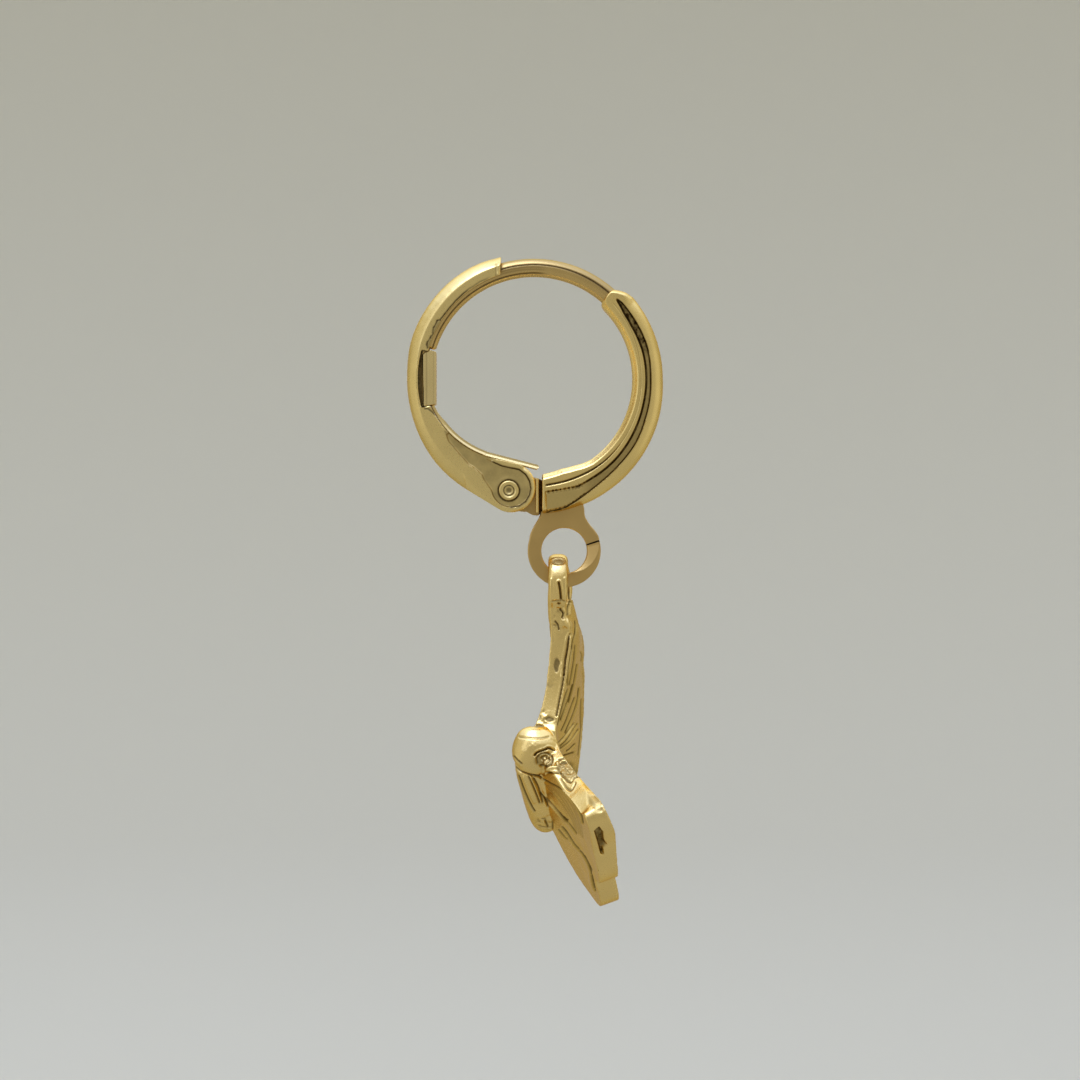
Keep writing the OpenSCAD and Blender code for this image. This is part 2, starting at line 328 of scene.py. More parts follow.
# s runs down the arm, v across its side from the inside out, and a is the angle round the hoop
turn = np.linspace(0, 1, 300)
turn = np.unique(np.concatenate([turn, np.linspace(0, 0.01, 6), np.linspace(0.99, 1, 6)]))
across = np.linspace(0, 1, 76)
s, v = np.meshgrid(turn, across, indexing="ij")
end_in, end_out = -85.3, -86.7
a = ARM_TOP + (end_in + (end_out - end_in) * v - ARM_TOP) * s
run = np.minimum(s, 1 - s) * ARM_RUN
taken_off = rounding(run, ARM_END_R)
inner, outer = table(ARM_IN, a) + taken_off, table(ARM_OUT, a) - taken_off
r = inner + (outer - inner) * v
rise, fall = r - inner, outer - r
roll = (0.3 + 0.5 * step(-84, -62, a)) * (1 - 0.6 * step(37, 43, a))
# side is the half width: rolled off outside, bevelled inside
side = ARM_HALF_W * (1 - np.clip(1 - fall / roll, 0, 1) ** ROLL_POWER) ** (1 / ROLL_POWER)
side = np.minimum(side, ARM_HALF_W - 0.26 * (1 - step(0, 0.34, rise)) - 0.1 * (1 - step(0, 0.07, rise)))
# Cut into the side: the recess, its lines, and dashes in the matt panel at its foot
panel = step(-60, -68, a)
fine, groove, wall = table(FINE_LINE, a), table(GROOVE, a), table(OUTER_WALL, a)
before_end = step(0, 0.05, (1 - s) * ARM_RUN - 0.17) * step(44.8, 42.5, a)
into = step(-0.03, 0.03, r - groove) * (1 - step(-0.03, 0.03, r - wall)) * before_end
teeth = step(-0.6, 0.5, np.sin(a * 3.1) + 0.7 * np.sin(a * 7.3 + 1) + 0.6 * np.sin(a * 4.7 + 2))
spike_edge = np.abs(r - 6.33) + 0.1 * np.sin(a * 5.2) ** 2
spikes = panel * bell(a + 67, 4.5) * step(0.24, 0.02, spike_edge)
cut_fine = bell(r - fine, 0.038 + 0.025 * step(-50, -62, a))
cut_fine *= (0.35 + 0.65 * step(-30, -55, a)) * before_end
cut_groove = bell(r - groove, 0.05) * (1 - 0.85 * panel * (1 - teeth)) * before_end
cut_wall = bell(r - wall + 0.02, 0.04) * before_end
inner_dashes = 0.7 * bell(r - groove - 0.12, 0.06)
dashes = (inner_dashes + bell(r - wall + 0.08, 0.06)) * panel * teeth
dashes = np.maximum(dashes, spikes) * before_end
carved = 0.13 * into + 0.09 * cut_fine + 0.09 * cut_groove + 0.03 * cut_wall + 0.03 * dashes
side = np.maximum(side - carved - taken_off, 0)
x, z = r * np.cos(np.radians(a)), r * np.sin(np.radians(a))
# The groove's upper part is speckled with black from the mould
flat = np.stack([x, z, 0 * r], axis=-1).reshape(-1, 3)
specks = (grit(flat, 0.09, 1) + 0.6 * grit(flat, 0.2, 2)).reshape(a.shape)
speckled = 0.3 * step(10, 16, a) * (1 + 0.9 * specks)
# Painted shade: the recess floor half dark, less in the foot panel; its lines and dashes fully dark; the
# mould's specks add to it.
arm_residue_and_shade = into * (0.5 - 0.22 * panel + speckled)
for line, shade in ((cut_fine, 1.0), (cut_groove, 1.0), (cut_wall, 1.0), (dashes, 0.8)):
    arm_residue_and_shade = np.maximum(arm_residue_and_shade, shade * line)
arm_residue_and_shade = np.clip(arm_residue_and_shade, 0, 1)
near_side, far_side = stand((x, z, -side)), stand((x, z, side))[:, ::-1]
arm_residue_and_shade = np.concatenate([arm_residue_and_shade, arm_residue_and_shade[:, ::-1]], axis=1)
arm = loft("arm", np.concatenate([near_side, far_side], axis=1), arm_residue_and_shade)
# Cast, then polished on a wheel: bright, with soft edges to what it reflects
cast_gold = gold_plate("gold_plated_casting_polished", "#F7D885", 0.27)
arm.data.materials.append(cast_gold)
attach(arm, "front")
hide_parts("front_arm")

# ---- Ear wire
# A 1.0 mm drawn brass wire, bent round and soldered into the arm's end. It is the smoothest part,
# with lengthwise lines from the drawing die, and its free end is rounded over for the ear.
WIRE_R, WIRE_HALF, TIP_R = 6.07, 0.5, 0.16
tip = math.radians(163.5)
bend = np.concatenate([np.radians(np.linspace(44, 160, 150)), np.linspace(math.radians(160.4), tip, 20)])
left = (tip - bend) * WIRE_R
thin = WIRE_HALF - rounding(left, TIP_R)
b, c = np.meshgrid(bend, circle(144), indexing="ij")
# The die's lines lie at these angles round the wire, counted from its front. They are cut shallow and painted
# dark as shade.
round_by = 90 - np.degrees(np.abs((c + math.pi) % (2 * math.pi) - math.pi))
die_lines_and_shade = bell(round_by - 17, 6 + 3 * step(80, 60, np.degrees(b)))
for line_at, shade in ((-37, 0.9), (2, 0.35), (-12, 0.3)):
    line = step(82, 88, np.degrees(b)) * bell(round_by - line_at, 6)
    die_lines_and_shade = np.maximum(die_lines_and_shade, shade * line)
thin = thin[:, None] - 0.016 * die_lines_and_shade
# Painted shade over the wire's outer side, to dim the highlight on its top
die_lines_and_shade = np.maximum(die_lines_and_shade, 0.3 * step(22, 40, round_by))
wire_r = WIRE_R + thin * np.cos(c)
wire = loft("ear_wire", stand((wire_r * np.cos(b), wire_r * np.sin(b), thin * np.sin(c))), die_lines_and_shade)
# Drawn through a die: smooth, fine in grain, and a shade browner than the polished parts
drawn_gold = gold_plate("gold_plated_drawn_wire", "#D6B671", 0.26, grain=0.08, grain_height=0.002)
wire.data.materials.append(drawn_gold)
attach(wire, "front")
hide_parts("front_arm")

# ---- Charm ring and hinge knuckle
# Stamped from flat brass plate and soldered under the arm: the ring with its saw slit, through
# which the charm is hung, and between the lever's cheeks the knuckle that the rivet runs in.
RING_AT, RING_HALF_T, RING_HOLE = (1.64, -9.33), 0.4, 1.236
RING_EDGE = [
    (-180, 1.985), (-160, 1.99), (-20, 1.99), (10, 1.99), (18, 1.99), (24, 2.03), (33, 2.0), (43, 1.985),
    (50, 2.03), (57, 2.13), (61, 2.28), (64, 2.5), (68, 2.75), (118, 2.75), (121, 2.5), (125, 2.32),
    (130, 2.21), (139, 2.13), (154, 2.05), (163, 1.99), (180, 1.985)]
KNUCKLE_AT, KNUCKLE_HALF_T, KNUCKLE_HOLE = (-1.36, -6.06), 0.55, 0.38
KNUCKLE_EDGE = [
    (-180, 1.0), (-88, 1.0), (-70, 1.12), (-50, 1.5), (-46, 1.85), (-40, 2.1), (0, 2.1), (10, 2.05),
    (20, 1.8), (35, 1.28), (55, 1.04), (70, 1.0), (180, 1.0)]


def washer(name, at, hole, edge, half_t, bevel, start=-180.0, slit=0.0, count=28, residue_and_shade=None, faces=None):
    """A flat stamping round a hole. edge gives its outline by angle, slit the width of a saw cut."""
    angle = np.linspace(start, start + 360, 241)
    if not slit:
        angle = angle[:-1]
    v = np.linspace(0, 1, count)
    v = np.unique(np.concatenate([v, [0.02, 0.05, 0.09, 0.91, 0.95, 0.98]]))
    g, w = np.meshgrid(angle, v, indexing="ij")
    cos_g, sin_g = np.cos(np.radians(g)), np.sin(np.radians(g))
    outer = table(edge, (g + 180) % 360 - 180)
    r = hole + (outer - hole) * w
    near_edge = np.minimum(r - hole, outer - r)
    y = half_t - rounding(near_edge, bevel)
    sides = []
    for way in (-1, 1):
        # The saw went through at a slant, so the cut can't be seen through
        from_cut = np.minimum(g - start, start + 360 - g)
        slant = 0.075 * way * bell(from_cut, 9) * (slit > 0)
        opening = slit / 2 * np.where(g == start, 1, np.where(g == start + 360, -1, 0))
        along = slant + opening
        x = at[0] + r * cos_g - along * sin_g
        z = at[1] + r * sin_g + along * cos_g
        sides.append(stand((x, z, way * (y + (0 if faces is None else faces(g, w))))))
    dark_residue_and_shade = np.zeros((len(angle), 2 * len(v)))
    if residue_and_shade is not None:
        shade = residue_and_shade(at[0] + r * cos_g)
        dark_residue_and_shade += np.concatenate([shade, shade[:, ::-1]], axis=1)
    # The saw cut's faces are painted dark as shade
    if slit:
        dark_residue_and_shade[[0, -1]] = 0.9
    return loft(name, np.concatenate([sides[0], sides[1][:, ::-1]], axis=1), dark_residue_and_shade, closed=not slit)


def sprung(g, w):
    """The ring's free end, bent open and closed again, is twisted: a ridge runs over it at a slant."""
    free = step(-100, -50, g) * (g <= 18) * (g > -180)
    ridge = np.clip((g + 72) / 84, 0, 1)
    return free * (0.08 - 0.34 * np.abs(w - ridge))


ring = washer("charm_ring", RING_AT, RING_HOLE, RING_EDGE, RING_HALF_T, 0.09, start=18 - 360, slit=0.09,
              faces=sprung)
# Stamped and plated without polishing: the dullest and brownest of the parts
stamped_gold = gold_plate("gold_plated_stamping", "#D3B06A", 0.36)
ring.data.materials.append(stamped_gold)
# The knuckle is painted as shade: a little all over, heavily past the shoulder
knuckle = washer("knuckle", KNUCKLE_AT, KNUCKLE_HOLE, KNUCKLE_EDGE, KNUCKLE_HALF_T, 0.1, count=60,
                 residue_and_shade=lambda x: 0.25 + 0.75 * step(0.24, 0.27, x))
knuckle.data.materials.append(stamped_gold)
# The shoulder is a thin upright step on the arm's end, against the knuckle
SHOULDER_X, SHOULDER_HALF_W, SHOULDER_R = (0.11, 0.25), 1.0, 0.05
SHOULDER_TOP, SHOULDER_FOOT = -5.4, -7.25
corner = [(math.cos(math.radians(t)), math.sin(math.radians(t))) for t in range(0, 90, 15)]
cx = sum(SHOULDER_X) / 2
hx, hy = (SHOULDER_X[1] - SHOULDER_X[0]) / 2 - SHOULDER_R, SHOULDER_HALF_W - SHOULDER_R
section = [(cx + qx * (hx + SHOULDER_R * abs(ux)), qy * (hy + SHOULDER_R * abs(uy)))
           for qx, qy, flip in ((1, 1, 0), (-1, 1, 1), (-1, -1, 0), (1, -1, 1))
           for ux, uy in (corner if not flip else corner[::-1])]
rings = np.array([[(px * MM, py * MM, (h + HOOP_Z) * MM) for px, py in section]
                  for h in np.linspace(SHOULDER_TOP, SHOULDER_FOOT, 12)])
shoulder = loft("shoulder", rings)
shoulder.data.materials.append(cast_gold)
for piece in (ring, knuckle, shoulder):
    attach(piece, "front")
    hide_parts("front_arm")

# ---- Lever
# The left-hand half of the hoop, pressed from brass sheet into a channel with two cheeks and gold
# plated. Its outside is rounded right across the cheeks, which carry a recess round the rivet.
LEVER_R, LEVER_HALF_W, HINGE_END, HINGE_END_R = 7.03, 1.1, np.array([-1.25, -5.9]), 1.34
LEVER_CUT_X = -1.82
TANGENT = math.radians(238.68)
LEVER_RECESS = [
    (-4.82, -2.84), (-4.14, -3.475), (-3.76, -3.75), (-3.21, -4.03), (-2.12, -4.565), (-1.74, -4.73),
    (-1.3, -4.83), (-0.8, -4.93), (-0.45, -5.2), (-0.24, -5.55), (-0.17, -5.95), (-0.24, -6.3),
    (-0.45, -6.66), (-0.8, -6.9), (-1.25, -6.97), (-1.7, -6.8), (-2.02, -6.55), (-2.35, -6.0),
    (-2.72, -5.46), (-2.83, -5.19), (-3.27, -4.81), (-3.55, -4.65), (-4.14, -3.97), (-4.64, -3.38)]
# By angle round the hoop: how far the outside strays from the circle, and how wide its roll is
LEVER_STRAY = [
    (104, -0.13), (108, -0.11), (113, -0.06), (120, -0.02), (130, 0), (160, 0), (166, -0.03), (172, -0.08),
    (178, -0.11), (190, -0.11), (200, -0.09), (210, -0.05), (220, -0.01), (228, 0)]
LEVER_ROLL = [(122, 0.64), (134, 0.5), (142, 0.44), (160, 0.42), (172, 0.55), (250, 0.66)]
# Lines by angle and radius: the rims of two pits in the solder, a scratch and the lip under the window
SOLDER_PITS = [[(148.0, 5.96), (148.3, 6.05), (149, 6.12), (151, 6.09), (153, 6.1), (155, 6.06),
                (156.2, 5.98)],
               [(156.6, 5.98), (157.5, 6.04), (159, 6.04), (161, 6.11), (162.5, 6.09), (163.8, 6.0)]]
WINDOW_SCRATCH = [(195.4, 6.12), (196, 5.95), (198, 5.81), (200.5, 5.69)]
WINDOW_LIP = [(194.4, 6.32), (194.8, 6.1), (195.3, 5.8)]
LEAF_CENTRE, LEAF_R, LEAF_T = np.array([-0.97, 0.63]), 4.91, 0.18
RIVET_AT = (-1.36, -6.06)


def softened(name, node, voxel, rounds):
    """A copy of a CAD node in millimetres, in even small faces, with its edges rounded off."""
    piece = bpy.data.objects.new(name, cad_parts[node].data.copy())
    scene.collection.objects.link(piece)
    piece.data.transform(Matrix.Scale(1 / MM, 4))
    piece.data.materials.clear()
    even(piece, voxel, rounds)
    return piece


def even(piece, voxel, rounds):
    grid = piece.modifiers.new("even", "REMESH")
    grid.mode = "VOXEL"
    grid.voxel_size = voxel
    rub = piece.modifiers.new("rub", "SMOOTH")
    rub.iterations = rounds
    rub.factor = 0.5
    apply_modifiers(piece)


def apply_modifiers(piece):
    mesh = bpy.data.meshes.new_from_object(piece.evaluated_get(bpy.context.evaluated_depsgraph_get()))
    piece.modifiers.clear()
    piece.data = mesh


def coordinates(piece):
    flat = np.empty(len(piece.data.vertices) * 3)
    piece.data.vertices.foreach_get("co", flat)
    return flat.reshape(-1, 3)


def normals(piece):
    flat = np.empty(len(piece.data.vertices) * 3)
    piece.data.vertex_normals.foreach_get("vector", flat)
    return flat.reshape(-1, 3)


def put_back(piece, points, residue_and_shade, sharp=40):
    """Stores moved points, given in millimetres, and finishes the skin."""
    piece.data.vertices.foreach_set("co", np.ascontiguousarray(points * MM).ravel())
    piece.data.update()
    finish(piece, residue_and_shade, sharp)


def near(points, line, closed=False):
    """Distance of flat points from a line through the given corners."""
    corners = [np.array(c, float) for c in line]
    if closed:
        corners.append(corners[0])
    best = np.full(len(points), 1e9)
    for a, b in zip(corners, corners[1:]):
        d = b - a
        t = np.clip(((points - a) @ d) / (d @ d), 0, 1)
        best = np.minimum(best, np.linalg.norm(points - (a + t[:, None] * d), axis=1))
    return best


def polar_line(corners):
    return [(r * math.cos(math.radians(a)), r * math.sin(math.radians(a))) for a, r in corners]


def within(points, line):
    """Whether flat points lie inside a closed line."""
    x, z = points.T
    result = np.zeros(len(points), bool)
    for (ax, az), (bx, bz) in zip(line, line[1:] + line[:1]):
        if az != bz:
            result ^= ((az > z) != (bz > z)) & (x < (bx - ax) * (z - az) / (bz - az) + ax)
    return result


lever = softened("lever_shell", "lever", 0.045, 3)
points = coordinates(lever)
flat = points[:, [0, 2]] - (0, HOOP_Z)
x, z = flat.T
y = points[:, 1]
r, a = np.hypot(x, z), np.degrees(np.arctan2(z, x)) % 360
outward = np.array([math.cos(TANGENT), math.sin(TANGENT)])
along = np.array([-outward[1], outward[0]])
past = (flat - HINGE_END) @ along
# edge is the distance in from the lever's outline, limit how far out a cheek may stand there
edge = np.where(np.radians(a) < TANGENT, LEVER_R - r, LEVER_R - flat @ outward)
edge = np.where(past > 0, HINGE_END_R - np.linalg.norm(flat - HINGE_END, axis=1), edge)
edge = np.maximum(edge, 0)
inside = (np.abs(y) < 0.72) & (edge > 0.36)
band = LEVER_HALF_W * np.sqrt(1 - (1 - np.clip(edge / table(LEVER_ROLL, a), 0, 1)) ** 2)
lip = LEVER_HALF_W - 0.16 * (1 - np.clip(edge / 0.26, 0, 1)) ** 2
limit = band + (lip - band) * step(228, 246, a)
limit -= 0.1 * (1 - np.clip((LEVER_CUT_X - x) / 0.14, 0, 1)) ** 2 * step(4, 5, z)
on_cheek = (np.abs(y) > 0.85) & (np.abs(normals(lever)[:, 1]) > 0.4)
floor = on_cheek & within(flat, LEVER_RECESS)
from_leaf = np.linalg.norm(flat - LEAF_CENTRE, axis=1)
beside_leaf = on_cheek & (from_leaf < 5.25) & (a > 212.5) & (x < -2.0)
floor_y = np.median(np.abs(y[floor]))
limit = np.where(beside_leaf, floor_y + (limit - floor_y) * step(-2.6, -2.0, x), limit)
y[:] = np.sign(y) * np.minimum(np.abs(y), limit)
# Lines and stains on the cheeks: how dark each is painted, and how deep it is sunk. The dark is painted shade
# in the recess, in the lines at its steps and round the rivet, with stains in the solder pits and the
# scratch.
rim = near(flat, LEVER_RECESS, closed=True)
residue_and_shade = (0.32 + 0.12 * grit(points, 0.3, 4)) * np.where(floor, 1, beside_leaf * step(-2.1, -2.5, x))
hinge_line = near(flat, LEVER_RECESS[3:15]) * on_cheek + 9 * ~on_cheek
hinge_line = bell(hinge_line, 0.055) * step(-2.6, -2.1, x)
from_rivet = np.linalg.norm(flat - RIVET_AT, axis=1)
ragged = bell(r - 5.99 - 0.03 * grit(points, 0.3, 6), 0.05)
ragged = ragged * on_cheek * step(112, 117, a) * (a < 148)
pit = np.zeros(len(points))
for line in SOLDER_PITS:
    around = near(flat, polar_line(line)) + 0.02 * grit(points, 0.12, 7)
    pit = np.maximum(pit, bell(around, 0.05) * on_cheek)
    residue_and_shade = np.maximum(residue_and_shade, 0.45 * within(flat, polar_line(line + [(164, 5.8), (148, 5.8)])) * on_cheek)
scratch = bell(near(flat, polar_line(WINDOW_SCRATCH)), 0.05) * on_cheek
raised = bell(near(flat, polar_line(WINDOW_LIP)), 0.07)
raised = np.maximum(raised, 0.8 * bell(r - 6.41, 0.05) * step(165, 168, a) * step(193, 191, a))
raised = np.maximum(raised, 0.8 * bell(x + 1.93 + 0.12 * (z - 6.0) ** 2, 0.05) * (z > 4))
raised = np.maximum(raised, 0.5 * bell(from_rivet - 0.69, 0.06)) * on_cheek
end_line = bell(x + 2.05 + 0.2 * (z - 5.8) ** 2, 0.045) * on_cheek * (z > 4)
for layer in (hinge_line, 0.4 * bell(rim, 0.05) * on_cheek * ~beside_leaf,
              bell(from_rivet - 0.58, 0.06) * on_cheek, ragged * (0.55 + 0.45 * step(125, 130, a)),
              pit, 0.95 * scratch, 0.5 * end_line):
    residue_and_shade = np.maximum(residue_and_shade, layer)
# Painted shade inside the channel
residue_and_shade = np.where(inside, 0.72, residue_and_shade)
LINE_DEPTH = 0.03
sunk = LINE_DEPTH * (ragged + pit + scratch + end_line + hinge_line) - LINE_DEPTH * raised
sunk = sunk + 0.006 * grit(points, 0.8, 9)
y -= np.sign(y) * sunk * on_cheek
strays = table(LEVER_STRAY, a) * step(6.3, 6.8, r) / r
points[:, [0, 2]] += flat * strays[:, None]
put_back(lever, points, np.clip(residue_and_shade, 0, 1))
# Pressed from sheet: bright, but what it reflects is blurred
pressed_gold = gold_plate("gold_plated_pressed_sheet", "#F5D98A", 0.3)
lever.data.materials.append(pressed_gold)
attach(lever, "clasp")
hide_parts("lever")

# ---- Spring leaf and rivet
# A strip of hard rolled spring brass closes the channel's inner side and clicks the lever shut. It
# is crimped in the window by its folded end. The lever turns on a rivet with dimpled, peened heads.
leaf = softened("leaf_spring", "spring_leaf", 0.03, 4)
points = coordinates(leaf)
flat = points[:, [0, 2]] - (0, HOOP_Z)
inward = LEAF_R + LEAF_T - np.linalg.norm(flat - LEAF_CENTRE, axis=1)
# From this bend on, the strip runs straight
LEAF_BEND, LEAF_RUN = np.array([-2.624, -4.014]), np.array([0.9685, -0.249])
past = (flat - LEAF_BEND) @ LEAF_RUN
inward = np.where(past > 0, LEAF_T + (flat - LEAF_BEND) @ (-LEAF_RUN[1], LEAF_RUN[0]), inward)
x, y = points[:, 0], points[:, 1]
strip = (np.abs(y) < 0.7) & (x > -5.2)
# The strip's rolled edges are rounded towards the ear, so they catch the light
facing = normals(leaf)
thicker = (0.02 + 0.06 * step(0.02, 0.16, inward)) * strip * step(-5.3, -4.8, x)
points[:, [0, 2]] += facing[:, [0, 2]] * thicker[:, None]
edge_round = 0.55 - 0.1 * step(0.03, 0.16, inward) * step(-5.3, -4.8, x)
y[:] = np.where(strip, np.clip(y, -edge_round, edge_round), y)
block = (x < -5.25) & (np.abs(y) > 0.7)
bands = bell(x + 5.82, 0.07) + 0.7 * bell(x + 5.45, 0.05)
# Painted shade on the folded end: two bands across it, and its middle past the fold
residue_and_shade = 0.3 * bands * block
residue_and_shade = np.where((x < -6.05) & (np.abs(y) < 0.4), 0.75, residue_and_shade)
y -= np.sign(y) * 0.03 * bands * block
put_back(leaf, points, np.clip(residue_and_shade, 0, 1))
# Rolled: its fine grain runs across the strip, and its rounded edge shines as one line
rolled_gold = gold_plate("gold_plated_rolled_strip", "#F5DA93", 0.26, stretch=(1, 0.2, 1))
leaf.data.materials.append(rolled_gold)
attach(leaf, "clasp")
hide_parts("spring_leaf")

RIVET_PROFILE = [
    (0.004, 1.07), (0.06, 1.072), (0.12, 1.085), (0.17, 1.11), (0.21, 1.135), (0.25, 1.14), (0.28, 1.13),
    (0.32, 1.14), (0.37, 1.175), (0.42, 1.195), (0.47, 1.19), (0.51, 1.165), (0.54, 1.12), (0.55, 1.05),
    (0.55, 0.98), (0.35, 0.975)]
profile = np.array(RIVET_PROFILE + [(q, -y) for q, y in reversed(RIVET_PROFILE)])
# How dark the heads are painted, by distance from the middle: painted shade in the hammer's dimple, in the
# ring between the rims and at the edge
RIVET_PAINTED_SHADE = [
    (0, 0.7), (0.15, 0.6), (0.2, 0.0), (0.24, 0.4), (0.28, 1.0), (0.33, 0.0), (0.51, 0.1), (0.55, 1.0)]
dark = table(RIVET_PAINTED_SHADE, profile[:, 0])
t = circle(64)
# The hammer left the heads a little out of round
wide = np.cos(t) * (1 + 0.02 * np.cos(2 * t + 1))
rings = np.stack([stand((RIVET_AT[0] + q * wide, RIVET_AT[1] + q * np.sin(t), np.full_like(t, y)))
                  for q, y in profile])
rivet = loft("rivet", rings, np.repeat(dark[:, None], len(t), axis=1))
# Hammered over and plated with the lever: just as blurred
peened_gold = gold_plate("gold_plated_peened_rivet", "#F5D98A", 0.3)
rivet.data.materials.append(peened_gold)
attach(rivet, "clasp")
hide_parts("hinge_pin")

# ---- Butterfly
# One lost-wax casting in brass, gold plated and tumbled: thick wings with sunk veins and a beaded
# margin, a round head and thorax, a grooved abdomen, and the loop joined to one wing's tip.
# Wing points: distance from the body along the wing, then distance forward, in millimetres.
BODY_AT, TILT, LEAN = np.array([0.626, -0.54, -27.03]), 37.3, 9.1
WING_T = 1.08
WING_EDGE = [
    (0, 1.9), (2.1, 2.6), (3.8, 3.4), (5.3, 4.4), (6.7, 5.15), (7.55, 4.4), (7.6, 2.6), (7.95, 1.0),
    (7.8, -0.2), (7.15, -0.95), (7.3, -2.0), (7.35, -3.0), (6.8, -4.0), (5.3, -5.0), (3.4, -5.8),
    (1.6, -5.6), (0, -4.4)]
TIP_CORNER, TAIL_CORNER = 4, 14
ROOT_SWELL, MARGIN_SWELL = 0.26, 0.26
LOOP_AT, LOOP_R, LOOP_HOLE, LOOP_HALF_W = (1.31, 0, -17.27), 1.7, 0.8, 0.535
LOOP_TWIST = 0.27
# Where the loop runs into the wing: height, centre across and in depth, half width and half depth
NECK = [(-17.9, 1.31, -0.95, 0.5, 0.38), (-18.4, 1.31, -0.7, 0.53, 0.5), (-19.0, 1.3, -0.58, 0.54, 0.5),
        (-19.6, 1.29, -0.52, 0.54, 0.44), (-20.2, 1.26, -0.5, 0.5, 0.34)]
VOXEL, KEPT_FACES = 0.0525, 0.5
# The butterfly's own axes in the frame
lay = np.array(Matrix.Rotation(math.radians(-LEAN), 3, "Y") @ Matrix.Rotation(math.radians(90 - TILT), 3, "X")
               @ Matrix.Rotation(math.radians(-90), 3, "Y"))


def fold(p):
    """How far the middle of a wing lies below the body, at a distance along it, and its slope."""
    p = np.maximum(p, 0)
    return -(0.3924 * p - 0.0109 * p * p), -(0.3924 - 0.0218 * p)


def smooth_line(corners, steps):
    """A smooth curve through measured corners."""
    c = np.array([corners[0]] + list(corners) + [corners[-1]], float)
    t = np.linspace(0, 1, steps, endpoint=False)[:, None]
    parts = [0.5 * (2 * c[i] + (c[i + 1] - c[i - 1]) * t
                    + (2 * c[i - 1] - 5 * c[i] + 4 * c[i + 1] - c[i + 2]) * t ** 2
                    + (3 * c[i] - c[i - 1] - 3 * c[i + 1] + c[i + 2]) * t ** 3) for i in range(1, len(c) - 2)]
    return np.concatenate(parts + [c[-1:]])


def placed(local):
    """From the butterfly's own axes (forward, to the side, up off its back) to the frame."""
    return local @ lay.T + BODY_AT


EDGE_STEPS = 6
edge_line = smooth_line(WING_EDGE, EDGE_STEPS)
front_edge = edge_line[:TIP_CORNER * EDGE_STEPS + 1]
margin = edge_line[TIP_CORNER * EDGE_STEPS:TAIL_CORNER * EDGE_STEPS + 1]
back_edge = edge_line[TAIL_CORNER * EDGE_STEPS:]
# Each row runs across a wing out to its margin
rows = np.linspace(edge_line[:, 1].min() + 0.01, edge_line[:, 1].max() - 0.01, 130)
root = np.full_like(rows, -0.3)
root = np.where(rows > front_edge[0, 1], np.interp(rows, front_edge[:, 1], front_edge[:, 0]), root)
back_q = np.minimum.accumulate(back_edge[::-1, 1])[::-1]
root = np.where(rows < back_edge[-1, 1], np.interp(rows, back_q, back_edge[:, 0]), root)
rim_q = np.minimum.accumulate(margin[:, 1])
reach = np.interp(rows, rim_q[::-1], margin[::-1, 0])
u = np.linspace(0, 1, 60)
p, q = root[:, None] + (reach - root)[:, None] * u, np.repeat(rows[:, None], len(u), axis=1)
drop, slope = fold(p)
lean_in = 1 / np.sqrt(1 + slope ** 2)
at_root = ROOT_SWELL * bell(p, 0.75) * step(-4.5, 0.0, q)
at_margin = MARGIN_SWELL * bell(q - 3.3, 1.6) * step(5.4, 7.3, p)
# The two wings, each a back and a belly
skins = []
for side in (1, -1):
    slab = [placed(np.stack([q, side * (p - slope * lean_in * n), drop + lean_in * n], axis=-1))
            for n in (WING_T / 2 + at_root, -WING_T / 2 - at_root - at_margin)]
    skins.append(skin(np.concatenate([slab[0], slab[1][:, ::-1]], axis=1)))

t = circle(48)


def turned(profile, centre):
    """A round form along the butterfly's length, from distance forward and radius."""
    rings = [np.stack([np.full_like(t, centre[0] + f), centre[1] + g * np.cos(t), centre[2] + g * np.sin(t)],
                      axis=-1) for f, g in profile]
    return skin(placed(np.array(rings)))


DOME_R, DOME_AT, ABDOMEN_AT = 1.3, (1.5, 0, 0.38), (0.4, 0, 0.5)
ABDOMEN = [
    (0.2, 1.0), (0, 1.12), (-0.6, 1.15), (-1.5, 1.12), (-2.6, 1.06), (-3.6, 1.0), (-4.5, 0.94), (-5.3, 0.87),
    (-5.95, 0.7), (-6.32, 0.4), (-6.46, 0.08)]
arc = np.linspace(0.02, math.pi - 0.02, 28)
skins.append(turned([(DOME_R * math.cos(k), DOME_R * math.sin(k)) for k in arc], DOME_AT))
skins.append(turned(smooth_line(ABDOMEN, 4), ABDOMEN_AT))


def squarish(k):
    """One axis of a rounded rectangle's outline, from -1 to 1, where k is its sine or cosine."""
    return np.sign(k) * np.abs(k) ** 0.7


mid, half = (LOOP_R + LOOP_HOLE) / 2, (LOOP_R - LOOP_HOLE) / 2
around = circle(96)
g, c = np.meshgrid(around, t, indexing="ij")
loop_r = mid + half * squarish(np.cos(c))
loop_y, loop_z = loop_r * np.cos(g), loop_r * np.sin(g)
loop_x = LOOP_HALF_W * squarish(np.sin(c)) + LOOP_TWIST * step(0.1, 1.3, loop_y) * step(1.6, -0.4, loop_z)
skins.append(skin(np.stack([loop_x, loop_y, loop_z], axis=-1) + LOOP_AT, closed=True))
skins.append(skin(np.array([np.stack([cx + hx * squarish(np.cos(t)), cy + hy * squarish(np.sin(t)),
                                      np.full_like(t, z)], axis=-1)
                            for z, cx, cy, hx, hy in smooth_line(NECK, 4)])))
count, all_points, all_faces = 0, [], []
for pts, fcs in skins:
    all_points.append(pts)
    all_faces += [tuple(i + count for i in f) for f in fcs]
    count += len(pts)
butterfly = mesh_piece("butterfly_casting", np.concatenate(all_points), all_faces)
turn_outward(butterfly.data)
even(butterfly, VOXEL, 9)

